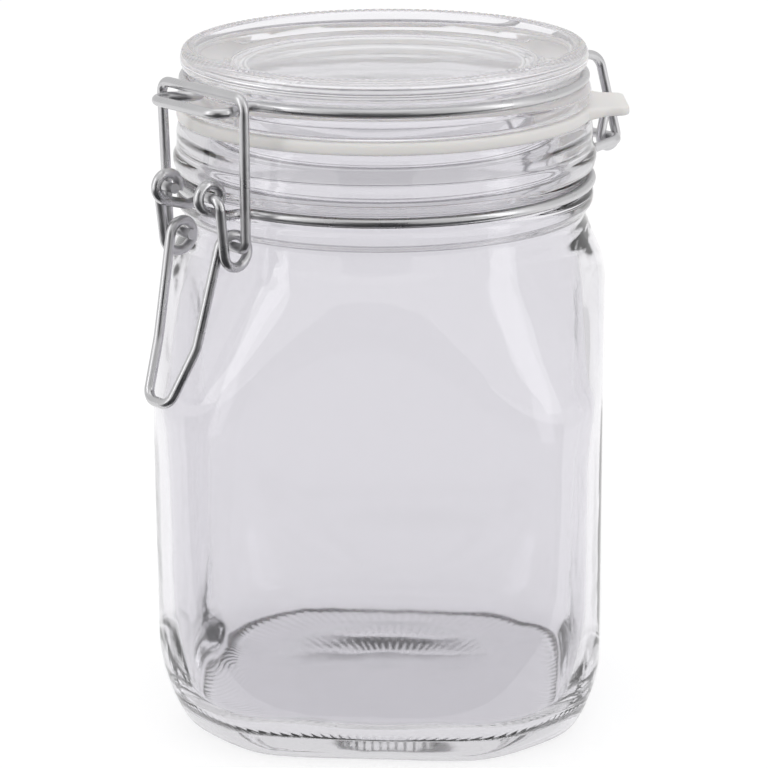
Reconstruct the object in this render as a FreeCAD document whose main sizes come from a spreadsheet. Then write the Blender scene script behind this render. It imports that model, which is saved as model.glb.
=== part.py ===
# Clip-top preserving jar: square glass body, round glass lid, seal ring and a wire clamp.
# Frame: origin at the centre of the base on the surface it stands on, +Z up, millimetres.
# The flat panels face X and Y. The clasp is over the -X -Y corner, the lid hinge over +X +Y.
import FreeCAD
import Part
import Sketcher
import math
import os

Vector = FreeCAD.Vector
os.makedirs("parts", exist_ok=True)
doc = FreeCAD.newDocument("PreservingJar")

# Driving sizes. Heights are stacked from the base up, and neck and clamp sizes start from the neck.
sizes = {
    # glass body
    "body_half": 53.6,        # from the axis to a flat panel
    "body_height": 86.0,      # to where the shoulder starts
    "corner_round": 27.5,
    "heel_round": 9.0,
    "wall_thick": 3.4,
    "floor_thick": 6.0,
    "inner_heel": 7.0,
    "push_up": 2.0,           # height of the hollow under the base
    "foot_width": 17.6,       # from the hollow to the middle of a panel
    # shoulder: a dome of revolution that cuts the corners and arches the panels
    "shoulder_rise": 37.4,
    "shoulder_slope": 0.45,
    "knee_rise": 27.0,
    "knee_in": 0.2,
    # neck and mouth
    "neck_radius": 50.0,
    "notch_depth": 1.3,
    "ledge_step": 2.2,
    "ledge_out": 0.4,
    "ledge_tall": 4.5,
    "groove_tall": 5.8,       # the groove that the neck wire lies in
    "bead_out": 1.0,
    "bead_tall": 4.5,
    "finish_tall": 7.3,       # from the bead to the rim
    "lip_width": 9.0,
    # seal ring
    "seal_thick": 2.9,
    "tab_length": 8.5,
    "tab_thick": 2.2,
    "tab_end_half": 9.4,
    "tab_root_half": 13.5,
    "tab_turn": 6.0,          # degrees from +X to the middle of the pull tab
    # lid
    "lid_height": 14.4,       # from the top of the seal to the crest
    "flange_in": 0.4,
    "flange_thick": 4.9,
    "lid_rim_in": 1.2,
    "lid_neck_in": 2.0,
    "crest_width": 2.6,
    "crest_round": 1.6,
    "crest_fall": 12.8,       # from the lid's edge to the flat of the dish
    "dish_depth": 3.8,
    "lid_thick": 6.4,
    "plug_depth": 4.2,
    "plug_width": 4.6,
    "plug_gap": 0.7,
    # wire clamp
    "wire_radius": 1.2,
    "seat_gap": 0.2,          # clear space between a wire band and its groove
    "wire_above_ledge": 2.1,
    "wire_sink": 0.3,
    "wire_above_flange": 1.6,
    "clasp_turn": -45.0,      # degrees: turns the clamp's front onto the -X -Y corner
    "leave_bend": 5.0,
    "wire_clear": 0.3,
    # eyelets at the ends of the neck wire
    "eyelet_across": 8.1,
    "eyelet_out": 9.5,
    "eyelet_rise": 4.9,
    "eyelet_radius": 3.2,
    # lever: arms, coils and finger loop
    "arm_gap": 1.2,
    "coil_tuck": 0.152,       # how far the coil tucks in over the shoulder's lip
    "coil_drop": 7.9,
    "coil_radius": 3.7,
    "coil_gap": 0.15,
    "kink_across": 7.3,
    "kink_drop": 30.2,
    "kink_clear": 5.05,       # from the shoulder to the middle of the wire
    "handle_half": 4.1,
    "handle_drop": 43.4,
    "handle_clear": 5.1,
    # link: hooks in the coils, legs and top bar
    "hook_end": 5.6,
    "foot_gap": 0.6,
    "link_side_gap": 0.8,
    "link_lean": 0.4,
    "link_bend": 2.8,
    "bar_clear": 0.9,         # clear space between the link's top bar and the lid's tab
    # tab at the front of the lid wire
    "tongue_half": 15.8,
    "tongue_root": 9.0,
    "tongue_out": 10.4,
    "tongue_bend": 3.4,
    # hinge
    "hinge_out": 16.7,
    "hinge_rise": 1.9,
    "hinge_bend": 2.6,
    "hinge_clear": 0.3,
    "hinge_side_gap": 1.9,
    "leg_across": 9.0,
    "leg_in": 3.6,            # how far inside the hinge bar the leg turns down
    "leg_drop": 2.2,
    "leg_bend": 5.0,
    "hook_tail": 6.0,
}

sheet = doc.addObject("Spreadsheet::Sheet", "Sizes")
for row, (alias, number) in enumerate(sizes.items(), start=1):
    sheet.set("A%d" % row, alias)
    sheet.set("B%d" % row, str(number))
    sheet.setAlias("B%d" % row, alias)
doc.recompute()


class Size:
    """A length that carries both its number and the spreadsheet expression it comes from."""

    def __init__(self, number, text):
        self.number = float(number)
        self.text = text

    def joined(self, other, sign, number):
        text = other.text if isinstance(other, Size) else repr(float(other))
        return Size(number, "(%s %s %s)" % (self.text, sign, text))

    def __add__(self, other):
        return self.joined(other, "+", self.number + plain(other))

    def __sub__(self, other):
        return self.joined(other, "-", self.number - plain(other))

    def __mul__(self, other):
        return self.joined(other, "*", self.number * plain(other))

    def __truediv__(self, other):
        return self.joined(other, "/", self.number / plain(other))

    def __neg__(self):
        return Size(-self.number, "(0 - %s)" % self.text)


def plain(value):
    return value.number if isinstance(value, Size) else float(value)


def size(alias):
    return Size(sheet.get(alias), "Sizes." + alias)


def zero():
    return Size(0.0, "0")


# Levels, from the base up.
shoulderLow = size("body_height")
shoulderKnee = shoulderLow + size("knee_rise")
shoulderTop = shoulderLow + size("shoulder_rise")
ledgeLow = shoulderTop + size("ledge_step")
ledgeHigh = ledgeLow + size("ledge_tall")
beadLow = ledgeHigh + size("groove_tall")
beadHigh = beadLow + size("bead_tall")
rimHeight = beadHigh + size("finish_tall")
lidFloor = rimHeight + size("seal_thick")
crestHeight = lidFloor + size("lid_height")
neckWireUp = ledgeHigh + size("wire_above_ledge")
lidWireUp = lidFloor + size("flange_thick") + size("wire_above_flange")

# Distances from the jar's axis.
neckRadius = size("neck_radius")
kneeRadius = size("body_half") - size("knee_in")
notchRadius = neckRadius - size("notch_depth")
shoulderDrop = kneeRadius - notchRadius
shoulderLip = notchRadius + shoulderDrop * 0.16
mouthRadius = neckRadius - size("lip_width")
plugRadius = mouthRadius - size("plug_gap")
flangeRadius = neckRadius - size("flange_in")
lidEdge = neckRadius - size("lid_rim_in")
lidWireRadius = neckRadius - size("lid_neck_in")
neckWireRadius = neckRadius - size("wire_sink")


# ---------------------------------------------------------------- sketches and bodies

def originPlane(body, role):
    for feature in body.Origin.OriginFeatures:
        if feature.Role == role:
            return feature


def newSketch(body, name, role, lift=None):
    sketch = body.newObject("Sketcher::SketchObject", name)
    sketch.AttachmentSupport = [(originPlane(body, role), "")]
    sketch.MapMode = "FlatFace"
    if lift is not None:
        sketch.AttachmentOffset = FreeCAD.Placement(Vector(0, 0, lift.number), FreeCAD.Rotation())
        sketch.setExpression("AttachmentOffset.Base.z", lift.text)
    return sketch


def drive(sketch, kind, where, value):
    """Add one distance or radius and bind it to the sheet."""
    number = value.number
    index = sketch.addConstraint(Sketcher.Constraint(kind, *where, number))
    if abs(number) > 1e-9:
        sketch.setExpression("Constraints[%d]" % index, value.text)
    return index


def closedProfile(sketch, corners):
    """A closed outline of straight sides whose corners are (x, y) sizes from the origin."""
    count = len(corners)
    for index in range(count):
        start = corners[index]
        end = corners[(index + 1) % count]
        sketch.addGeometry(Part.LineSegment(Vector(start[0].number, start[1].number, 0),
                                            Vector(end[0].number, end[1].number, 0)), False)
    for index in range(count):
        following = (index + 1) % count
        sketch.addConstraint(Sketcher.Constraint("Coincident", index, 2, following, 1))
    for index, (x, y) in enumerate(corners):
        placeAlong(sketch, "X", index, x)
        placeAlong(sketch, "Y", index, y)


def placeAlong(sketch, axis, index, value):
    """Fix one coordinate of a line's first point."""
    if value.number == 0.0:
        line = -2 if axis == "X" else -1
        sketch.addConstraint(Sketcher.Constraint("PointOnObject", index, 1, line))
    else:
        drive(sketch, "Distance" + axis, (-1, 1, index, 1), value)


def roundedSquare(sketch, half, corner):
    """A square outline about the origin with round corners."""
    reach = half.number
    radius = corner.number
    flat = reach - radius
    lines = [((reach, -flat), (reach, flat)), ((flat, reach), (-flat, reach)),
             ((-reach, flat), (-reach, -flat)), ((-flat, -reach), (flat, -reach))]
    middles = [(flat, flat), (-flat, flat), (-flat, -flat), (flat, -flat)]
    for index in range(4):
        start, end = lines[index]
        sketch.addGeometry(Part.LineSegment(Vector(*start, 0), Vector(*end, 0)), False)
        circle = Part.Circle(Vector(*middles[index], 0), Vector(0, 0, 1), radius)
        first = math.pi / 2 * index
        sketch.addGeometry(Part.ArcOfCircle(circle, first, first + math.pi / 2), False)
    for index in range(4):
        line = 2 * index
        arc = line + 1
        sketch.addConstraint(Sketcher.Constraint("Tangent", line, 2, arc, 1))
        sketch.addConstraint(Sketcher.Constraint("Tangent", arc, 2, (line + 2) % 8, 1))
    for line, kind in ((0, "Vertical"), (2, "Horizontal"), (4, "Vertical"), (6, "Horizontal")):
        sketch.addConstraint(Sketcher.Constraint(kind, line))
    for arc in (3, 5, 7):
        sketch.addConstraint(Sketcher.Constraint("Equal", 1, arc))
    drive(sketch, "Radius", (1,), corner)
    drive(sketch, "DistanceX", (-1, 1, 0, 1), half)
    drive(sketch, "DistanceY", (-1, 1, 2, 1), half)
    drive(sketch, "DistanceX", (4, 1, -1, 1), half)
    drive(sketch, "DistanceY", (6, 1, -1, 1), half)


def pad(body, name, sketch, length):
    feature = body.newObject("PartDesign::Pad", name)
    feature.Profile = sketch
    feature.Length = length.number
    feature.setExpression("Length", length.text)
    sketch.Visibility = False
    return feature


def turned(body, kind, name, sketch):
    """A full turn of the sketch about its own vertical axis: Revolution adds, Groove cuts."""
    feature = body.newObject("PartDesign::" + kind, name)
    feature.Profile = sketch
    feature.ReferenceAxis = (sketch, ["V_Axis"])
    feature.Angle = 360.0
    return feature


def roundEdges(body, name, base, chosen, radius):
    """Fillet the base feature's edges that the test chooses."""
    doc.recompute()
    names = ["Edge%d" % (index + 1) for index, edge in enumerate(base.Shape.Edges) if chosen(edge)]
    feature = body.newObject("PartDesign::Fillet", name)
    feature.Base = (base, names)
    feature.Radius = radius.number
    feature.setExpression("Radius", radius.text)
    body.Tip = feature
    return feature


def flatAt(height):
    """Tests for an edge that lies in one level plane."""
    def test(edge):
        box = edge.BoundBox
        return abs(box.ZMin - height.number) < 1e-4 and abs(box.ZMax - height.number) < 1e-4
    return test


# ---------------------------------------------------------------- glass body

def domeRadius(height, inset):
    """The shoulder dome's radius at a level, taken in by the inset."""
    climb = shoulderKnee - height
    return kneeRadius + climb * size("shoulder_slope") - inset


def domeCorners(inset, outer):
    """The outline of what the shoulder dome removes, from the low edge to the neck."""
    beyond = size("body_half") * 1.6
    span = shoulderTop - shoulderKnee
    return [
        (beyond, shoulderLow),
        (domeRadius(shoulderLow, inset), shoulderLow),
        (domeRadius(shoulderKnee, inset), shoulderKnee),
        (notchRadius + shoulderDrop * 0.52 - inset, shoulderKnee + span * 0.4),
        (shoulderLip - inset, shoulderKnee + span * 0.8),
        (notchRadius - inset, shoulderTop),
        (notchRadius - inset, outer),
        (beyond, outer),
    ]


def glassOutside():
    body = doc.addObject("PartDesign::Body", "GlassOutside")
    outline = newSketch(body, "PanelOutline", "XY_Plane")
    roundedSquare(outline, size("body_half"), size("corner_round"))
    block = pad(body, "Panels", outline, shoulderTop)
    heel = roundEdges(body, "Heel", block, flatAt(zero()), size("heel_round"))
    dome = newSketch(body, "DomeOutline", "XZ_Plane")
    closedProfile(dome, domeCorners(zero(), shoulderTop + 5.0))
    shoulder = turned(body, "Groove", "Shoulder", dome)
    if shoulder.Reversed is None:
        shoulder.Reversed = False
    neck = newSketch(body, "NeckOutline", "XZ_Plane")
    wireLow = neckWireUp - size("wire_radius") - size("seat_gap") * 1.5
    wireHigh = neckWireUp + size("wire_radius") + size("seat_gap") * 1.5
    seat = neckWireRadius - size("wire_radius") - size("seat_gap")
    ledge = neckRadius + size("ledge_out")
    bead = neckRadius + size("bead_out")
    closedProfile(neck, [
        (zero(), shoulderTop - 6.0),
        (notchRadius - 1.5, shoulderTop - 6.0),
        (notchRadius - 0.25, shoulderTop),
        (notchRadius - 0.25, ledgeLow),
        (ledge, ledgeLow + 1.1),
        (ledge, ledgeHigh),
        (seat, wireLow),
        (seat, wireHigh),
        (bead - 0.6, beadLow - 0.2),
        (bead, beadLow + 0.9),
        (bead, beadHigh - 1.2),
        (neckRadius, beadHigh),
        (neckRadius, rimHeight - 1.6),
        (neckRadius - 1.0, rimHeight),
        (zero(), rimHeight),
    ])
    turned(body, "Revolution", "Neck", neck)
    hollow = newSketch(body, "HollowOutline", "XZ_Plane")
    rise = size("push_up")
    reach = size("body_half") - size("foot_width")
    closedProfile(hollow, [
        (zero(), zero() - 1.0),
        (reach + 1.0, zero() - 1.0),
        (reach, zero()),
        (reach * 0.86, rise * 0.62),
        (reach * 0.5, rise * 0.94),
        (zero(), rise),
    ])
    turned(body, "Groove", "PushUp", hollow)
    return body


def glassInside():
    body = doc.addObject("PartDesign::Body", "GlassInside")
    wall = size("wall_thick")
    outline = newSketch(body, "CavityOutline", "XY_Plane", size("floor_thick"))
    roundedSquare(outline, size("body_half") - wall, size("corner_round") - wall)
    block = pad(body, "Cavity", outline, shoulderTop - size("floor_thick"))
    heel = roundEdges(body, "CavityHeel", block, flatAt(size("floor_thick")), size("inner_heel"))
    dome = newSketch(body, "CavityDome", "XZ_Plane")
    closedProfile(dome, domeCorners(wall * 1.15, shoulderTop + 5.0))
    turned(body, "Groove", "CavityShoulder", dome)
    mouth = newSketch(body, "MouthOutline", "XZ_Plane")
    lift = shoulderTop - 4.0
    closedProfile(mouth, [
        (zero(), lift - 2.0),
        (mouthRadius, lift - 2.0),
        (mouthRadius, rimHeight - 1.2),
        (mouthRadius + 1.0, rimHeight),
        (mouthRadius + 1.0, rimHeight + 2.0),
        (zero(), rimHeight + 2.0),
    ])
    turned(body, "Revolution", "Mouth", mouth)
    return body


def jarGlass():
    outside = glassOutside()
    inside = glassInside()
    doc.recompute()
    cut = doc.addObject("Part::Cut", "JarGlass")
    cut.Base = outside
    cut.Tool = inside
    cut.Label = "jar_glass"
    return cut


# ---------------------------------------------------------------- lid and seal

def lidGlass():
    body = doc.addObject("PartDesign::Body", "LidGlass")
    body.Label = "lid_glass"
    floor = lidFloor
    crest = crestHeight
    wireUp = lidWireUp
    half = size("wire_radius") + size("seat_gap") * 1.5
    seat = lidWireRadius - size("wire_radius") - size("seat_gap")
    plug = plugRadius
    dishUp = crest - size("dish_depth")
    edge = lidEdge
    dish = lidEdge - size("crest_fall")
    profile = newSketch(body, "LidOutline", "XZ_Plane")
    closedProfile(profile, [
        (zero(), dishUp - size("lid_thick")),
        (plug - size("plug_width") - 1.5, dishUp - size("lid_thick")),
        (plug - size("plug_width"), floor - size("plug_depth") + 1.0),
        (plug - size("plug_width") + 1.0, floor - size("plug_depth")),
        (plug - 1.0, floor - size("plug_depth")),
        (plug, floor - size("plug_depth") + 1.0),
        (plug, floor),
        (flangeRadius - 0.8, floor),
        (flangeRadius, floor + 0.8),
        (flangeRadius, floor + size("flange_thick") - 1.0),
        (flangeRadius - 1.0, floor + size("flange_thick")),
        (seat, wireUp - half),
        (seat, wireUp + half),
        (lidWireRadius, wireUp + half + 0.6),
        (edge, wireUp + half + 1.9),
        (edge, crest - size("crest_round")),
        (edge - size("crest_round"), crest),
        (edge - size("crest_width"), crest),
        (edge - size("crest_width") - 1.2, crest - 0.7),
        (dish + 2.0, dishUp + 0.9),
        (dish, dishUp),
        (zero(), dishUp),
    ])
    turned(body, "Revolution", "LidTurned", profile)
    return body


def sealRing():
    body = doc.addObject("PartDesign::Body", "SealRing")
    body.Label = "seal_ring"
    low = rimHeight
    thick = size("seal_thick")
    inner = plugRadius + size("wire_clear")
    outer = neckRadius
    profile = newSketch(body, "SealOutline", "XZ_Plane")
    closedProfile(profile, [
        (inner, low),
        (outer - 0.5, low),
        (outer, low + 0.5),
        (outer, low + thick - 0.5),
        (outer - 0.5, low + thick),
        (inner, low + thick),
    ])
    turned(body, "Revolution", "SealTurned", profile)
    lift = low + (thick - size("tab_thick")) / 2.0
    outline = newSketch(body, "TabOutline", "XY_Plane", lift)
    root = outer - 4.0
    reach = outer + size("tab_length")
    end = size("tab_end_half")
    wide = size("tab_root_half")
    closedProfile(outline, [
        (root, -wide),
        (outer * 0.975, -wide),
        (outer + 2.6, -end - 1.2),
        (reach - 1.3, -end),
        (reach, -end + 1.6),
        (reach, end - 1.6),
        (reach - 1.3, end),
        (outer + 2.6, end + 1.2),
        (outer * 0.975, wide),
        (root, wide),
    ])
    tab = pad(body, "PullTab", outline, size("tab_thick"))
    turn = size("tab_turn")
    axis = FreeCAD.Rotation(Vector(0, 0, 1), turn.number)
    body.Placement = FreeCAD.Placement(Vector(0, 0, 0), axis)
    body.setExpression("Placement.Rotation.Angle", turn.text)
    return body


# ---------------------------------------------------------------- wires
# A wire is a path of straight runs and tangent arcs, swept with a round section.
# Points are (across, out, up); the clamp's front looks along -Y before it is turned.

def at(across, out, up):
    return Vector(across, -out, up)


def bandEdge(radius, up, startAngle, endAngle):
    """Part of a level circle about the jar's axis; angles in radians."""
    points = []
    for share in (0.0, 0.5, 1.0):
        angle = startAngle + (endAngle - startAngle) * share
        points.append(Vector(radius * math.cos(angle), radius * math.sin(angle), up))
    return tuple(points)


def bentRun(points, bends):
    """A path through the points, each inner corner rounded by its bend radius, or by less on a short run.

    An edge of a path is a pair of points for a straight run and three points for an arc.
    """
    edges = []
    start = points[0]
    for index in range(1, len(points) - 1):
        corner = points[index]
        inward = (points[index - 1] - corner).normalize()
        outward = (points[index + 1] - corner).normalize()
        opening = math.acos(max(-1.0, min(1.0, inward.dot(outward))))
        if math.pi - opening < 1e-4:
            continue
        room = min(start.distanceToPoint(corner), 0.9 * corner.distanceToPoint(points[index + 1]))
        bend = min(bends[index - 1], room * math.tan(opening / 2))
        setBack = bend / math.tan(opening / 2)
        middleWay = (inward + outward).normalize()
        centre = corner + middleWay * (bend / math.sin(opening / 2))
        first = corner + inward * setBack
        last = corner + outward * setBack
        middle = centre - middleWay * bend
        if first.distanceToPoint(start) > 2e-3:
            edges.append((start, first))
        else:
            first = start
        edges.append((first, middle, last))
        start = last
    if start.distanceToPoint(points[-1]) > 2e-3:
        edges.append((start, points[-1]))
    return edges


def coilPoints(centre, radius, startAngle, endAngle, startAcross, endAcross, steps):
    """Corners of the path round a coil: its centre is (out, up), angles run in the out-up plane."""
    step = (endAngle - startAngle) / steps
    reach = radius / math.cos(step / 2)
    points = []
    for index in range(steps):
        share = (index + 0.5) / steps
        angle = startAngle + step * (index + 0.5)
        across = startAcross + (endAcross - startAcross) * share
        points.append(at(across, centre[0] + reach * math.cos(angle), centre[1] + reach * math.sin(angle)))
    return points


def tangentAngle(centre, radius, point, side):
    """The angle on a circle where a line from the point touches it; side is +1 or -1."""
    out = point[0] - centre[0]
    up = point[1] - centre[1]
    distance = math.hypot(out, up)
    return math.atan2(up, out) + side * math.acos(radius / distance)


def leaving(bandRadius, up, across, bend, front):
    """Where a wire leaves its band and turns straight out: touch angle on the band and two arc ends."""
    centreX = across + bend
    centreY = math.sqrt((bandRadius + bend) ** 2 - centreX ** 2)
    touch = bandRadius / (bandRadius + bend)
    first = (centreX * touch, centreY * touch)
    last = (across, centreY)
    lean = math.atan2(centreY, centreX)
    toFirst = lean + math.pi
    toLast = math.pi
    halfway = (toFirst + toLast) / 2
    middle = (centreX + bend * math.cos(halfway), centreY + bend * math.sin(halfway))
    sign = -1.0 if front else 1.0
    ends = [Vector(x, sign * y, up) for x, y in (first, middle, last)]
    return sign * lean, ends


def bothSides(half):
    """The half path and its mirror image across the clamp's middle plane."""
    other = [tuple(Vector(-point.x, point.y, point.z) for point in edge) for edge in half]
    return half + other


def solidEdge(points):
    if len(points) == 2:
        return Part.LineSegment(*points).toShape()
    return Part.Arc(*points).toShape()


def sweepWire(name, label, edges):
    radius = size("wire_radius").number
    ordered = Part.__sortEdges__([solidEdge(points) for points in edges])
    path = Part.Wire(ordered)
    first = ordered[0]
    start = first.valueAt(first.FirstParameter)
    along = first.tangentAt(first.FirstParameter)
    section = Part.Wire([Part.Circle(start, along, radius).toShape()])
    solid = path.makePipeShell([section], True, False)
    feature = doc.addObject("Part::Feature", name)
    feature.Label = label
    feature.Shape = solid
    turn = FreeCAD.Rotation(Vector(0, 0, 1), size("clasp_turn").number)
    feature.Placement = FreeCAD.Placement(Vector(0, 0, 0), turn)
    length = path.Length
    expected = math.pi * radius ** 2 * length
    print("%s: path %.1f mm, volume %.1f of %.1f mm3" % (label, length, solid.Volume, expected))
    return feature


def number(alias):
    return size(alias).number


# Places of the clamp's joints as (out, up), in millimetres.
eyeletCentre = (neckWireRadius.number + number("eyelet_out"), neckWireUp.number + number("eyelet_rise"))
coilCentre = (shoulderLip.number + number("wire_radius") + number("coil_radius") - number("coil_tuck"),
              neckWireUp.number - number("coil_drop"))
hingeCentre = (neckWireRadius.number + number("hinge_out"), neckWireUp.number + number("hinge_rise"))
wireWidth = 2 * number("wire_radius")
armAcross = number("eyelet_across") + wireWidth + number("arm_gap")


def neckWireEdges():
    """Half the neck wire: eyelet, stem, band to the rear and half the hinge bar."""
    up = neckWireUp.number
    band = neckWireRadius.number
    bend = number("leave_bend")
    across = number("eyelet_across")
    barHalf = number("leg_across") + wireWidth + number("hinge_side_gap")
    frontAngle, frontEnds = leaving(band, up, across, bend, True)
    rearAngle, rearEnds = leaving(band, up, barHalf, bend, False)
    stemStart = frontEnds[2]
    loop = number("eyelet_radius")
    knee = (-stemStart.y + 1.0, up)
    touch = tangentAngle(eyeletCentre, loop, knee, 1) % (2 * math.pi)
    finish = touch + math.radians(275)
    loopPoints = coilPoints(eyeletCentre, loop, touch, finish, across, across, 5)
    loopEnd = at(across, eyeletCentre[0] + loop * math.cos(finish), eyeletCentre[1] + loop * math.sin(finish))
    stem = [stemStart, at(across, *knee)] + loopPoints + [loopEnd]
    edges = bentRun(stem, [3.0] + [loop] * len(loopPoints))
    edges.append(tuple(frontEnds))
    edges.append(bandEdge(band, up, frontAngle, rearAngle))
    edges.append(tuple(rearEnds))
    legStart = rearEnds[2]
    hinge = Vector(legStart.x, *hingeCentre)
    knee = legStart + Vector(0, 1.2, 0)
    leg = [legStart, knee, hinge, Vector(0, *hingeCentre)]
    edges += bentRun(leg, [3.0, number("hinge_bend")])
    return edges


def neckWire():
    half = neckWireEdges()
    return sweepWire("NeckWire", "neck_wire", bothSides(half))


def lidWireEdges():
    """Half the lid wire: half the front tab, band to the rear, leg and hook under the hinge bar."""
    up = lidWireUp.number
    band = lidWireRadius.number
    bend = number("leave_bend")
    side = number("leg_across")
    frontAngle, frontEnds = leaving(band, up, number("tongue_root"), bend * 0.8, True)
    rearAngle, rearEnds = leaving(band, up, side, bend, False)
    out = neckWireRadius.number + number("tongue_out")
    flare = frontEnds[2] + Vector(0, -1.0, 0)
    tongue = [Vector(0, -out, up), Vector(number("tongue_half"), -out, up), flare, frontEnds[2]]
    edges = bentRun(tongue, [number("tongue_bend"), 3.0])
    edges.append(tuple(frontEnds))
    edges.append(bandEdge(band, up, frontAngle, rearAngle))
    edges.append(tuple(rearEnds))
    centre = (-hingeCentre[0], hingeCentre[1])
    loop = wireWidth + number("hinge_clear")
    top = (-(hingeCentre[0] - number("leg_in")), up - number("leg_drop"))
    touch = tangentAngle(centre, loop, top, 1)
    finish = touch + math.radians(210)
    loopPoints = coilPoints(centre, loop, touch, finish, side, side, 3)
    endPoint = (centre[0] + loop * math.cos(finish), centre[1] + loop * math.sin(finish))
    tail = number("hook_tail")
    tip = at(side, endPoint[0] - tail * math.sin(finish), endPoint[1] + tail * math.cos(finish))
    knee = rearEnds[2] + Vector(0, 1.0, 0)
    leg = [rearEnds[2], knee, at(side, *top)] + loopPoints + [tip]
    edges += bentRun(leg, [4.0, number("leg_bend")] + [loop] * len(loopPoints))
    return edges


def lidWire():
    half = lidWireEdges()
    return sweepWire("LidWire", "lid_wire", bothSides(half))


def leverEdges():
    """Half the lever: end hooked in the eyelet, arm, coil and half the finger loop."""
    radius = number("coil_radius")
    strand = armAcross - wireWidth - number("coil_gap")
    kinkUp = neckWireUp - size("kink_drop")
    handleUp = neckWireUp - size("handle_drop")
    kink = (domeRadius(kinkUp, zero()).number + number("kink_clear"), kinkUp.number)
    handle = (domeRadius(handleUp, zero()).number + number("handle_clear"), handleUp.number)
    armTouch = tangentAngle(coilCentre, radius, eyeletCentre, -1)
    handTouch = tangentAngle(coilCentre, radius, kink, 1)
    while handTouch > armTouch:
        handTouch -= 2 * math.pi
    coil = coilPoints(coilCentre, radius, armTouch, handTouch, armAcross, strand, 5)
    hookEnd = number("eyelet_across") - 3.1
    points = [at(hookEnd, *eyeletCentre), at(armAcross, *eyeletCentre)] + coil
    points.append(at(number("kink_across"), *kink))
    points.append(at(number("handle_half"), *handle))
    points.append(at(0, *handle))
    bends = [2.2] + [radius * 0.96] * len(coil) + [12.0, number("handle_half") * 0.85]
    return bentRun(points, bends)


def lever():
    half = leverEdges()
    return sweepWire("Lever", "lever", bothSides(half))


def linkEdges():
    """Half the link: hook through the coil, leg and half the top bar."""
    rise = number("coil_radius") - wireWidth - number("wire_clear")
    footUp = coilCentre[1] + rise
    barUp = lidWireUp.number + wireWidth + number("bar_clear")
    foot = armAcross + wireWidth + number("foot_gap")
    lean = number("link_lean")
    out = coilCentre[0]
    top = foot + number("link_side_gap")
    points = [at(number("hook_end"), out, footUp), at(foot, out, footUp),
              at(top, out + lean, barUp), at(0, out + lean, barUp)]
    return bentRun(points, [2.0, number("link_bend")])


def link():
    half = linkEdges()
    return sweepWire("Link", "link", bothSides(half))


pieces = [jarGlass(), lidGlass(), sealRing(), neckWire(), lidWire(), lever(), link()]
doc.recompute()

for thing in doc.Objects:
    if "Invalid" in thing.State or "Error" in thing.State:
        raise RuntimeError("%s did not compute: %s" % (thing.Name, thing.State))
for piece in pieces:
    if piece.Shape.isNull() or not piece.Shape.isValid() or len(piece.Shape.Solids) != 1:
        raise RuntimeError("%s has no single valid solid" % piece.Label)
for piece in pieces:
    piece.Shape.exportStep("parts/%s.step" % piece.Label)
    box = piece.Shape.BoundBox
    print("%s: volume %.0f mm3, z %.1f to %.1f" % (piece.Label, piece.Shape.Volume, box.ZMin, box.ZMax))
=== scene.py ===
# Clip-top preserving jar: clear glass body and lid, rubber seal and wire clamp.
import bpy
import math
import numpy as np
from mathutils import Matrix, Vector, noise


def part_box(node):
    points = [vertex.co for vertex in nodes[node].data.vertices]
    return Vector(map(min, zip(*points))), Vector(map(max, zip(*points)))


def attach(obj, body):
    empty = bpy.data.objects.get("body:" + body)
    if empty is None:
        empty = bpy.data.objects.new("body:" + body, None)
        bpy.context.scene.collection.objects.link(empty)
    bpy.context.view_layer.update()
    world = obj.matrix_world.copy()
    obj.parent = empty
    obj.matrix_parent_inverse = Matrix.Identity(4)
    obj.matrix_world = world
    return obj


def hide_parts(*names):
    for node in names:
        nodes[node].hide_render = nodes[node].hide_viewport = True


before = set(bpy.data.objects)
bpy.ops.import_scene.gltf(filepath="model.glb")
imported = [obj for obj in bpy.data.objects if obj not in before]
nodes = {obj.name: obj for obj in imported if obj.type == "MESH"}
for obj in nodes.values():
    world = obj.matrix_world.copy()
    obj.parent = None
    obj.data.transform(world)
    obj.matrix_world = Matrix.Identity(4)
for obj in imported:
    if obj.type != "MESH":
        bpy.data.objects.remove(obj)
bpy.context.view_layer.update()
mm = 0.001  # outlines are written in millimetres
arcShare = 0.48  # most of a side that a softened corner may take
print("stage: frame loaded, pieces", sorted(nodes))


def smoothMin(first, second, width):
    low = np.minimum(first, second)
    gap = np.abs(first - second)
    return low - width * np.log1p(np.exp(-gap / width))


# Softens the corners of an open outline with short arcs.
def roundedPath(points, radius, steps=4):
    path = [points[0]]
    for before, corner, after in zip(points, points[1:], points[2:]):
        a, b, c = Vector(before), Vector(corner), Vector(after)
        toward, away = a - b, c - b
        room = min(radius, toward.length * arcShare, away.length * arcShare)
        start, end = b + toward.normalized() * room, b + away.normalized() * room
        for index in range(steps + 1):
            t = index / steps
            path.append(tuple((1 - t) ** 2 * start + 2 * t * (1 - t) * b + t * t * end))
    path.append(points[-1])
    return path


def newPiece(name, verts, faces):
    mesh = bpy.data.meshes.new(name)
    mesh.from_pydata([tuple(v) for v in verts], [], faces)
    mesh.validate()
    mesh.polygons.foreach_set("use_smooth", [True] * len(mesh.polygons))
    mesh.update()
    piece = bpy.data.objects.new(name, mesh)
    bpy.context.scene.collection.objects.link(piece)
    return piece


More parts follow.
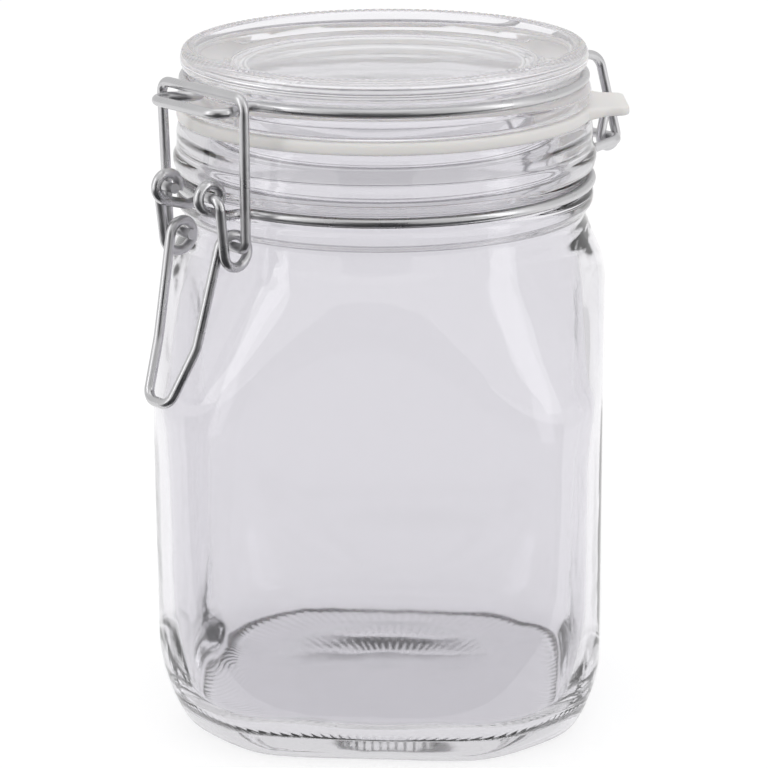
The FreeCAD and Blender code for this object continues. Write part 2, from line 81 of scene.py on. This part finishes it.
# Closed skin through rings of (radii, heights), one value per angle, with a fan at each end.
def meshFromRings(name, rings, angles):
    count = len(angles)
    spin = np.stack([np.cos(angles), np.sin(angles)], axis=1)
    verts, faces = [], []
    for radii, heights in rings:
        radii = np.broadcast_to(radii, count)
        heights = np.broadcast_to(heights, count)
        verts.extend(np.column_stack([spin * radii[:, None], heights]) * mm)
    for ring in range(len(rings) - 1):
        low, high = ring * count, (ring + 1) * count
        for index in range(count):
            after = (index + 1) % count
            faces.append((low + index, low + after, high + after, high + index))
    last = (len(rings) - 1) * count
    firstPole, lastPole = len(verts), len(verts) + 1
    for radii, heights in (rings[0], rings[-1]):
        verts.append((0, 0, float(np.mean(heights)) * mm))
    faces.extend((firstPole, (i + 1) % count, i) for i in range(count))
    faces.extend((lastPole, last + i, last + (i + 1) % count) for i in range(count))
    return newPiece(name, verts, faces)


def addNode(tree, kind, **values):
    node = tree.nodes.new(kind)
    for key, value in values.items():
        if hasattr(node, key) and key not in node.inputs:
            setattr(node, key, value)
        else:
            node.inputs[key].default_value = value
    return node


def newMaterial(name):
    material = bpy.data.materials.new(name)
    material.use_nodes = True
    material.node_tree.nodes.clear()
    return material, material.node_tree


def showSurface(tree, surface):
    output = addNode(tree, "ShaderNodeOutputMaterial")
    tree.links.new(surface, output.inputs["Surface"])


# Fine relief from noise; returns the coordinates, for the other patterns.
def noiseBump(tree, shader, scale, distance, strength=1.0, detail=2.0):
    coords = addNode(tree, "ShaderNodeTexCoord").outputs["Object"]
    grain = addNode(tree, "ShaderNodeTexNoise", Scale=scale, Detail=detail)
    bump = addNode(tree, "ShaderNodeBump", Strength=strength, Distance=distance)
    tree.links.new(coords, grain.inputs["Vector"])
    tree.links.new(grain.outputs["Fac"], bump.inputs["Height"])
    tree.links.new(bump.outputs["Normal"], shader.inputs["Normal"])
    return coords


# Two shades of one colour in soft patches; returns how strong the patches are.
def patchyColor(tree, shader, coords, look):
    patch = addNode(tree, "ShaderNodeTexNoise", Scale=look["patchScale"], Detail=look["patchDetail"])
    tint = addNode(tree, "ShaderNodeMix", data_type="RGBA")
    tint.inputs["A"].default_value = (*look["shade"], 1)
    tint.inputs["B"].default_value = (*look["color"], 1)
    tree.links.new(coords, patch.inputs["Vector"])
    tree.links.new(patch.outputs["Fac"], tint.inputs["Factor"])
    tree.links.new(tint.outputs["Result"], shader.inputs["Base Color"])
    return patch.outputs["Fac"]


bodyLook = {
    "tint": (0.828, 0.82, 0.846),
    "ior": 1.5,
    "waveScale": 55.0,
    "waveDepth": 0.00010,
    "hazeScale": 30.0,
    "hazeDetail": 3.0,
    "roughLow": 0.02,
    "roughHigh": 0.07,
    "shadowTint": (0.95, 0.95, 0.955),
}
lidLook = dict(bodyLook, tint=(0.875, 0.867, 0.892), waveScale=70.0, waveDepth=0.00008)


def glassMaterial(name, look):
    material, tree = newMaterial(name)
    shader = addNode(tree, "ShaderNodeBsdfPrincipled")
    shader.inputs["Base Color"].default_value = (*look["tint"], 1)
    shader.inputs["Transmission Weight"].default_value = 1.0
    shader.inputs["IOR"].default_value = look["ior"]
    coords = noiseBump(tree, shader, look["waveScale"], look["waveDepth"])
    cloud = addNode(tree, "ShaderNodeTexNoise", Scale=look["hazeScale"], Detail=look["hazeDetail"])
    haze = addNode(tree, "ShaderNodeMapRange")
    haze.inputs["To Min"].default_value = look["roughLow"]
    haze.inputs["To Max"].default_value = look["roughHigh"]
    tree.links.new(coords, cloud.inputs["Vector"])
    tree.links.new(cloud.outputs["Fac"], haze.inputs["Value"])
    tree.links.new(haze.outputs["Result"], shader.inputs["Roughness"])
    through = addNode(tree, "ShaderNodeBsdfTransparent")
    through.inputs["Color"].default_value = (*look["shadowTint"], 1)
    path = addNode(tree, "ShaderNodeLightPath")
    mix = addNode(tree, "ShaderNodeMixShader")
    tree.links.new(path.outputs["Is Shadow Ray"], mix.inputs["Fac"])  # lamps reach past the glass
    tree.links.new(shader.outputs["BSDF"], mix.inputs[1])
    tree.links.new(through.outputs["BSDF"], mix.inputs[2])
    showSurface(tree, mix.outputs["Shader"])
    return material


jarGlass = glassMaterial("jarGlassClear", bodyLook)
lidGlass = glassMaterial("lidGlassClear", lidLook)

steelLook = {
    "color": (0.68, 0.675, 0.685),
    "shade": (0.54, 0.54, 0.55),
    "roughLow": 0.22,
    "roughHigh": 0.40,
    "patchScale": 130.0,
    "patchDetail": 4.0,
    "patchRange": (0.3, 0.7),      # the part of the pattern that spreads over the roughness
    "grainScale": 900.0,
    "grainDepth": 0.00002,
    "grainStrength": 0.6,
    "grainDetail": 3.0,
}


def steelMaterial(name, look):
    material, tree = newMaterial(name)
    shader = addNode(tree, "ShaderNodeBsdfPrincipled")
    shader.inputs["Metallic"].default_value = 1.0
    coords = noiseBump(tree, shader, look["grainScale"], look["grainDepth"],
                       look["grainStrength"], look["grainDetail"])
    patches = patchyColor(tree, shader, coords, look)
    rough = addNode(tree, "ShaderNodeMapRange")
    rough.inputs["From Min"].default_value = look["patchRange"][0]
    rough.inputs["From Max"].default_value = look["patchRange"][1]
    rough.inputs["To Min"].default_value = look["roughLow"]
    rough.inputs["To Max"].default_value = look["roughHigh"]
    tree.links.new(patches, rough.inputs["Value"])
    tree.links.new(rough.outputs["Result"], shader.inputs["Roughness"])
    showSurface(tree, shader.outputs["BSDF"])
    return material


wireSteel = steelMaterial("wireSteelDrawn", steelLook)

sealLook = {
    "color": (0.965, 0.93, 0.91),
    "shade": (0.94, 0.905, 0.88),
    "rough": 0.42,
    "soak": 0.35,                  # share of the light that soaks into the rubber
    "soakSpread": (1.0, 0.8, 0.6),
    "soakDepth": 0.002,
    "patchScale": 60.0,
    "patchDetail": 3.0,
    "grainScale": 1400.0,
    "grainDepth": 0.00002,
    "grainStrength": 0.5,
    "grainDetail": 3.0,
}


def sealMaterial(name, look):
    material, tree = newMaterial(name)
    shader = addNode(tree, "ShaderNodeBsdfPrincipled")
    shader.inputs["Roughness"].default_value = look["rough"]
    shader.inputs["Subsurface Weight"].default_value = look["soak"]
    shader.inputs["Subsurface Radius"].default_value = look["soakSpread"]
    shader.inputs["Subsurface Scale"].default_value = look["soakDepth"]
    coords = noiseBump(tree, shader, look["grainScale"], look["grainDepth"],
                       look["grainStrength"], look["grainDetail"])
    patchyColor(tree, shader, coords, look)
    showSurface(tree, shader.outputs["BSDF"])
    return material


sealRubber = sealMaterial("sealRubberCream", sealLook)
print("stage: materials")

jarSizes = {
    "half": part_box("jar_glass")[1][0] / mm,  # from the axis to a flat panel
    "corner": 27.5,
    "around": 480,                 # points in each ring
    "heelIn": (6.3, 11.3),         # how far the foot stands in, at a flat and at a corner
    "heelUp": (13.9, 35.8),        # how high that curve climbs, at a flat and at a corner
    "heelBow": 1.42,
    "heelSpread": 5.6,
    "heelRows": (0.1, 0.4, 0.9, 1.6, 2.6, 3.8, 5.2, 6.8, 8.6, 10.6, 12.8, 15.4, 18.4, 21.8,
                 25.6, 30.0, 36.0),
    "innerSpread": 2.6,            # the blown inside follows the corners more softly
    "wall": 3.4,
    "domeWall": 1.2,               # the shoulder's wall against the panels'
    "floor": 5.2,
    "floorCrown": 0.9,
    "floorRows": (0.7, 0.4, 0.15, 0.02),
    "innerHeel": 8.0,
    "innerHeelSteps": 8,
    "pushUp": 2.0,                 # hollow under the base
    "pushUpRadius": 36.0,
    "pushUpRows": (0.02, 0.2, 0.35, 0.5, 0.62, 0.74, 0.85, 0.94, 1.0),
    "panelRows": (42, 72, 5),      # from, to, how many
    "shoulderLow": 74.0,
    "shoulderStep": 1.4,
    "neckLow": 123.4,
    "neckSoft": 1.1,
    "innerTop": 117.5,
    "innerStep": 1.8,
    "innerPanelRows": (72, 40, 5),
    "innerFootRows": (36, 15, 7),
    "innerRise": 1.0,              # the inside follows the dome's curve from this much higher
    "crease": 0.9,                 # how softly the shoulder meets the panels
    "innerCrease": 2.2,
    "wave": 0.12,                  # unevenness of the blown inside
    "waveTop": 118.5,
    "waveFade": 12,                # it grows over this height, so the neck stays true
    "waveAround": 1.6,
    "waveTall": 38.0,
    "waveStart": 3.7,
    "ripple": 0.4,                 # a finer wave on top
    "rippleScale": 3.1,
    "knurlCount": 120,             # ridges under the foot
    "knurlDepth": 0.2,
    "knurlBand": ((5.6, 0.0), (5.2, 1.0), (2.2, 1.0), (1.8, 0.0), (0.0, 0.0)),  # inward, lift
    "domeRows": (60, 126, 265),
    "domeSoft": 13,                # rows that the smoothing spans
    "domeTurns": 2,
    "dome": [(60, 78.0), (86, 65.6), (99, 59.7), (108, 55.6), (113, 53.1), (117.2, 50.9),
             (121.3, 49.2), (123.4, 48.5), (127, 48.3)],  # height, radius
    "neck": [(48.45, 123.4), (48.4, 125.3), (50.3, 126.6), (50.4, 129.8), (48.5, 130.8),
             (48.4, 133.6), (50.5, 135.7), (51.0, 137.0), (51.0, 139.0), (50.1, 140.5),
             (50.0, 145.4), (49.2, 147.7), (42.2, 147.7), (41.0, 146.2), (41.1, 143.5),
             (43.4, 139.5), (44.7, 134.5), (44.9, 124.0), (45.4, 121.0), (46.1, 118.8)],
}


# The shoulder's points joined and smoothed into one curve.
def domeCurve():
    s = jarSizes
    heights = np.linspace(*s["domeRows"])
    radii = np.interp(heights, *zip(*s["dome"]))
    kernel = np.ones(s["domeSoft"]) / s["domeSoft"]
    for turn in range(s["domeTurns"]):
        radii = np.convolve(np.pad(radii, s["domeSoft"] // 2, mode="edge"), kernel, mode="valid")
    return heights, radii


# Distance from the axis to a square outline with round corners.
def squareRadius(angles, half, corner):
    folded = np.abs((angles + math.pi / 4) % (math.pi / 2) - math.pi / 4)
    middle = half - corner
    flat = half / np.cos(folded)
    both = middle * (np.cos(folded) + np.sin(folded))
    arc = both + np.sqrt(np.maximum(both ** 2 - 2 * middle ** 2 + corner ** 2, 0))
    return np.where(flat * np.sin(folded) <= middle, flat, arc)


# How far the glass draws in towards the foot: gently at a flat, high and deep at a corner.
def heelInset(angles, height, spread):
    s = jarSizes
    corner = np.clip(np.abs(np.sin(2 * angles)), 0, 1) ** spread
    depth = s["heelIn"][0] + (s["heelIn"][1] - s["heelIn"][0]) * corner
    climb = s["heelUp"][0] + (s["heelUp"][1] - s["heelUp"][0]) * corner
    share = np.clip((climb - height) / climb, 0, 1)
    return depth * (1 - (1 - share ** s["heelBow"]) ** (1 / s["heelBow"]))


def glassWave(angles, height):
    s = jarSizes
    around, level = s["waveAround"], height / s["waveTall"] + s["waveStart"]
    offsets = []
    for angle in angles:
        spot = Vector((around * math.cos(angle), around * math.sin(angle), level))
        offsets.append(noise.noise(spot) + s["ripple"] * noise.noise(spot * s["rippleScale"]))
    return np.array(offsets)


# From the middle of the base out to the foot and up to the neck.
def outerRings(angles, domeZ, domeR):
    s = jarSizes
    panel = squareRadius(angles, s["half"], s["corner"])
    foot = panel - heelInset(angles, 0.0, s["heelSpread"])
    phase = np.round(angles / (2 * math.pi) * s["knurlCount"] * 4).astype(int) % 4
    ridge = np.where(phase < 2, s["knurlDepth"], 0.0)
    rings = []
    for share in s["pushUpRows"]:
        rings.append((s["pushUpRadius"] * share, s["pushUp"] * (1 - share ** 2) ** 2))
    for inward, lift in s["knurlBand"]:
        rings.append((foot - inward, lift * ridge))
    for height in s["heelRows"]:
        rings.append((panel - heelInset(angles, height, s["heelSpread"]), height))
    shoulder = np.arange(s["shoulderLow"], s["neckLow"] - 0.5, s["shoulderStep"])
    for height in np.concatenate([np.linspace(*s["panelRows"]), shoulder]):
        dome = np.interp(height, domeZ, domeR)
        rings.append((np.minimum(panel, smoothMin(panel, dome, s["crease"])), height))
    return rings


# From below the neck down the inside and in to the middle of the floor.
def innerRings(angles, domeZ, domeR):
    s = jarSizes
    wall, spread = s["wall"], s["innerSpread"]
    inside = squareRadius(angles, s["half"] - wall, s["corner"] - wall)
    rings = []
    for height in np.concatenate([np.arange(s["innerTop"], s["shoulderLow"], -s["innerStep"]),
                                  np.linspace(*s["innerPanelRows"]),
                                  np.linspace(*s["innerFootRows"])]):
        dome = np.interp(height + s["innerRise"], domeZ, domeR) - wall * s["domeWall"]
        radii = smoothMin(inside, dome, s["innerCrease"]) - heelInset(angles, height, spread)
        ease = min(1.0, (s["waveTop"] - height) / s["waveFade"])
        rings.append((radii - ease * s["wave"] * np.abs(glassWave(angles, height)), height))
    for step in range(s["innerHeelSteps"], -1, -1):
        turn = math.pi / 2 * step / s["innerHeelSteps"]
        height = s["floor"] + s["innerHeel"] * (1 - math.cos(turn))
        inset = s["innerHeel"] * (1 - math.sin(turn))
        rings.append((inside - heelInset(angles, height, spread) - inset, height))
    for share in s["floorRows"]:
        rings.append((s["pushUpRadius"] * share, s["floor"] + s["floorCrown"] * (1 - share ** 2)))
    return rings


def makeJar():
    angles = np.linspace(0, 2 * math.pi, jarSizes["around"], endpoint=False)
    domeZ, domeR = domeCurve()
    neck = roundedPath(jarSizes["neck"], jarSizes["neckSoft"], 3)
    rings = outerRings(angles, domeZ, domeR) + neck + innerRings(angles, domeZ, domeR)
    jar = meshFromRings("jarBody", rings, angles)
    jar.data.materials.append(jarGlass)
    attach(jar, "jar")
    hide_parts("jar_glass")
    return jar


jarBody = makeJar()
print("stage: glass body", len(jarBody.data.polygons), "faces")

lidSizes = {
    "top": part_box("lid_glass")[1][2] / mm,
    "soft": 0.9,
    "stippleCount": 160,           # dots round the crest
    "stippleGap": 3,               # points from one dot to the next
    "stippleHeight": 0.16,
    "crest": (45.6, 48.4),         # the dots lie between these radii
    "crestLow": -1.3,
    "outline": [(0.6, -10.2), (33.4, -10.2), (35.7, -12.4), (35.8, -17.2), (36.7, -18.5),
                (39.3, -18.5), (40.3, -17.4), (40.4, -14.5), (48.4, -14.4), (49.5, -13.6),
                (49.6, -10.6), (48.6, -9.5), (46.8, -9.3), (46.6, -6.5), (47.9, -5.7),
                (48.8, -4.2), (48.8, -2.4), (48.3, -0.9), (47.0, -0.05), (46.0, -0.2),
                (45.2, -0.9), (43.6, -1.5), (38.5, -2.7), (36.2, -3.7), (34.0, -3.8),
                (0.6, -3.8)],      # radius, height below the top
}


def makeLid():
    s = lidSizes
    angles = np.linspace(0, 2 * math.pi, s["stippleCount"] * s["stippleGap"], endpoint=False)
    dots = (np.arange(len(angles)) % s["stippleGap"] == 0) * s["stippleHeight"]
    rings = []
    for radius, height in roundedPath(s["outline"], s["soft"]):
        onCrest = s["crest"][0] < radius < s["crest"][1] and height > s["crestLow"]
        rings.append((radius, s["top"] + height - (dots if onCrest else 0.0)))
    lid = meshFromRings("lidDisc", rings, angles)
    lid.data.materials.append(lidGlass)
    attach(lid, "lid")
    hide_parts("lid_glass")
    return lid


lidDisc = makeLid()
print("stage: glass lid", len(lidDisc.data.polygons), "faces")

sealLow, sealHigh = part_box("seal_ring")
sealSizes = {
    "inner": 40.8,
    "outer": 49.95,
    "around": 140,                 # points round half the ring
    "thick": (sealHigh[2] - sealLow[2]) / mm,
    "edge": 0.5,
    "tabReach": 58.3,
    "tabHalf": 9.4,
    "tabRoot": 13.2,
    "tabFlare": ((1.2, 1.6), (3.4, 0.3)),  # where the root swings out, from ring and tab side
    "tabSoft": 1.6,
    "tabCorner": 2.6,
    "tabCornerSteps": 6,
    "tabTurn": 6.0,                # degrees round from the right-hand side
    "tabThick": 2.2,
    "tabThin": (50.2, 2.5),        # radius where the thickness starts to change, over how far
    "section": [(0.0, -1.0, 0.0), (0.03, -1.0, 0.0), (0.5, -1.0, 0.0), (0.8, -1.0, 0.0),
                (1.0, -1.0, 1.0), (1.0, -0.86, 0.35), (1.0, -0.5, 0.0), (1.0, 0.5, 0.0),
                (1.0, 0.86, 0.35), (1.0, 1.0, 1.0), (0.8, 1.0, 0.0), (0.5, 1.0, 0.0),
                (0.03, 1.0, 0.0), (0.0, 1.0, 0.0)],  # share outwards, level, rounding
}


# Plan of the outer edge: the ring with its pull tab, alike on both sides of the tab.
def sealOutline():
    s = sealSizes
    outer, reach, half, corner = s["outer"], s["tabReach"], s["tabHalf"], s["tabCorner"]
    first = math.asin(s["tabRoot"] / outer)
    upper = [(outer * math.cos(a), outer * math.sin(a))
             for a in np.linspace(math.pi, first, s["around"])[:-1]]
    flare = [(outer + out, half + aside) for out, aside in s["tabFlare"]]
    root = [(outer * math.cos(first), s["tabRoot"]), *flare, (reach - corner, half)]
    upper += roundedPath(root, s["tabSoft"], 5)
    for step in range(1, s["tabCornerSteps"] + 1):
        turn = math.pi / 2 * step / s["tabCornerSteps"]
        upper.append((reach - corner + corner * math.sin(turn),
                      half - corner + corner * math.cos(turn)))
    upper += [(reach, y) for y in np.linspace(half - corner, 0, 6)[1:-1]]
    lower = [(x, -y) for x, y in reversed(upper[1:])]
    return np.array(upper + [(reach, 0.0)] + lower)


def makeSeal():
    s = sealSizes
    outline = sealOutline()
    turn = math.radians(s["tabTurn"])
    spin = np.array([[math.cos(turn), math.sin(turn)], [-math.sin(turn), math.cos(turn)]])
    angle = np.arctan2(outline[:, 1], outline[:, 0])
    inner = s["inner"] * np.column_stack([np.cos(angle), np.sin(angle)])
    along = np.roll(outline, 1, axis=0) - np.roll(outline, -1, axis=0)
    outward = np.column_stack([along[:, 1], -along[:, 0]])
    outward /= np.linalg.norm(outward, axis=1)[:, None]
    middle = (sealLow[2] + sealHigh[2]) / 2 / mm
    verts, faces = [], []
    for share, level, rounding in s["section"]:
        flat = inner + (outline - inner) * share - outward * s["edge"] * rounding
        far = np.clip((np.linalg.norm(flat, axis=1) - s["tabThin"][0]) / s["tabThin"][1], 0, 1)
        half = s["thick"] / 2 + (s["tabThick"] - s["thick"]) / 2 * far
        verts.extend(np.column_stack([flat @ spin, middle + level * half]) * mm)
    count, loops = len(outline), len(s["section"])
    for loop in range(loops):
        below, above = loop * count, (loop + 1) % loops * count
        for index in range(count):
            after = (index + 1) % count
            faces.append((above + index, above + after, below + after, below + index))
    seal = newPiece("sealRing", verts, faces)
    seal.data.materials.append(sealRubber)
    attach(seal, "lid")
    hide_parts("seal_ring")
    return seal


sealRing = makeSeal()
print("stage: seal", len(sealRing.data.polygons), "faces")

for name in ("neck_wire", "lid_wire", "lever", "link"):  # the clamp's solids only take the steel
    wire = nodes[name]
    wire.data.materials.clear()
    wire.data.materials.append(wireSteel)
print("stage: wires")

cameraPlace = {
    "distance": 0.7403,
    "height": 0.2980,
    "azimuth": 4.70,
    "pitch": 16.433,
    "yaw": -0.042,
    "roll": -0.371,
    "lens": 146.8,
}


def makeCamera():
    p = cameraPlace
    turn = math.radians(p["azimuth"])
    data = bpy.data.cameras.new("camera")
    data.lens = p["lens"]
    camera = bpy.data.objects.new("camera", data)
    spot = Matrix.Translation((p["distance"] * math.sin(turn), -p["distance"] * math.cos(turn),
                               p["height"]))
    heading = Matrix.Rotation(turn - math.radians(p["yaw"]), 4, "Z")
    tilt = Matrix.Rotation(math.radians(90 - p["pitch"]), 4, "X")
    lean = Matrix.Rotation(math.radians(p["roll"]), 4, "Z")
    camera.matrix_world = spot @ heading @ tilt @ lean
    bpy.context.scene.collection.objects.link(camera)
    bpy.context.scene.camera = camera


lamps = [
    # name, place, size across and up, watts
    ("softLeft", (-0.95, -0.55, 0.55), 0.35, 1.3, 2.2),
    ("softRight", (1.0, -0.30, 0.50), 0.30, 1.3, 1.7),
    ("softTop", (0.05, 0.10, 1.60), 1.2, 1.2, 2.2),
]
lampAim = (0, 0, 0.08)


def makeLamps():
    for name, place, wide, tall, watts in lamps:
        data = bpy.data.lights.new(name, "AREA")
        data.shape = "RECTANGLE"
        data.size = wide
        data.size_y = tall
        data.energy = watts
        lamp = bpy.data.objects.new(name, data)
        lamp.location = place
        aim = Vector(lampAim) - Vector(place)
        lamp.rotation_euler = aim.to_track_quat("-Z", "Y").to_euler()
        bpy.context.scene.collection.objects.link(lamp)


# 1 for camera, mirror and glass rays, 0 for soft light.
def seenDirectly(tree):
    path = addNode(tree, "ShaderNodeLightPath")
    total = path.outputs["Is Camera Ray"]
    for name in ("Is Glossy Ray", "Is Transmission Ray"):
        join = addNode(tree, "ShaderNodeMath", operation="MAXIMUM")
        tree.links.new(total, join.inputs[0])
        tree.links.new(path.outputs[name], join.inputs[1])
        total = join.outputs["Value"]
    return total


floorLook = {
    "size": 8.0,
    "drop": 0.0002,                # a hair under the base, so the two never share a plane
    "color": (0.62, 0.62, 0.62),
    "glow": 0.56,
}


def makeFloor():
    half, low = floorLook["size"] / 2, -floorLook["drop"]
    corners = [(-half, -half, low), (half, -half, low), (half, half, low), (-half, half, low)]
    floor = newPiece("floor", corners, [(0, 1, 2, 3)])
    material, tree = newMaterial("floorWhite")
    soft = addNode(tree, "ShaderNodeBsdfDiffuse")
    soft.inputs["Color"].default_value = (*floorLook["color"], 1)
    glow = addNode(tree, "ShaderNodeEmission")
    level = addNode(tree, "ShaderNodeMath", operation="MULTIPLY")
    level.inputs[1].default_value = floorLook["glow"]
    both = addNode(tree, "ShaderNodeAddShader")
    tree.links.new(seenDirectly(tree), level.inputs[0])
    tree.links.new(level.outputs["Value"], glow.inputs["Strength"])
    tree.links.new(soft.outputs["BSDF"], both.inputs[0])
    tree.links.new(glow.outputs["Emission"], both.inputs[1])
    showSurface(tree, both.outputs["Shader"])
    floor.data.materials.append(material)


flagLook = {
    "near": 0.07,                  # in front of the axis
    "far": 1.20,
    "half": 0.42,
    "low": 0.002,
    "tall": 0.75,
    "color": (0.05, 0.05, 0.055),
    "hiddenFrom": ("visible_camera", "visible_diffuse", "visible_transmission",
                   "visible_volume_scatter", "visible_shadow"),
}


# A black card lying in front and standing at its far end, for the wires' dark middle line.
def makeFlag():
    f = flagLook
    near, far, half, low, tall = -f["near"], -f["far"], f["half"], f["low"], f["tall"]
    corners = [(-half, near, low), (half, near, low), (half, far, low), (-half, far, low),
               (-half, far, tall), (half, far, tall)]
    flag = newPiece("flag", corners, [(0, 1, 2, 3), (3, 2, 5, 4)])
    material, tree = newMaterial("flagBlack")
    shader = addNode(tree, "ShaderNodeBsdfPrincipled")
    shader.inputs["Base Color"].default_value = (*f["color"], 1)
    shader.inputs["Roughness"].default_value = 1.0
    showSurface(tree, shader.outputs["BSDF"])
    flag.data.materials.append(material)
    for sight in f["hiddenFrom"]:
        setattr(flag, sight, False)  # only mirrors see it


skyLook = {
    "soft": 0.86,                  # strength as light all round
    "seen": 1.0,                   # strength where it is looked at
}


def makeSky():
    world = bpy.data.worlds.new("studio")
    bpy.context.scene.world = world
    world.use_nodes = True
    tree = world.node_tree
    tree.nodes.clear()
    level = addNode(tree, "ShaderNodeMix", data_type="FLOAT")
    level.inputs["A"].default_value = skyLook["soft"]
    level.inputs["B"].default_value = skyLook["seen"]
    sky = addNode(tree, "ShaderNodeBackground")
    output = addNode(tree, "ShaderNodeOutputWorld")
    tree.links.new(seenDirectly(tree), level.inputs["Factor"])
    tree.links.new(level.outputs["Result"], sky.inputs["Strength"])
    tree.links.new(sky.outputs["Background"], output.inputs["Surface"])


makeCamera()
makeLamps()
makeFloor()
makeFlag()
makeSky()
bpy.context.scene.view_settings.view_transform = "Standard"

bounceLimits = {  # thick clear glass needs many, or its edges go black
    "max_bounces": 24,
    "glossy_bounces": 12,
    "transmission_bounces": 24,
    "transparent_max_bounces": 16,
}
for limit, count in bounceLimits.items():
    setattr(bpy.context.scene.cycles, limit, count)
print("stage: camera, light and floor")
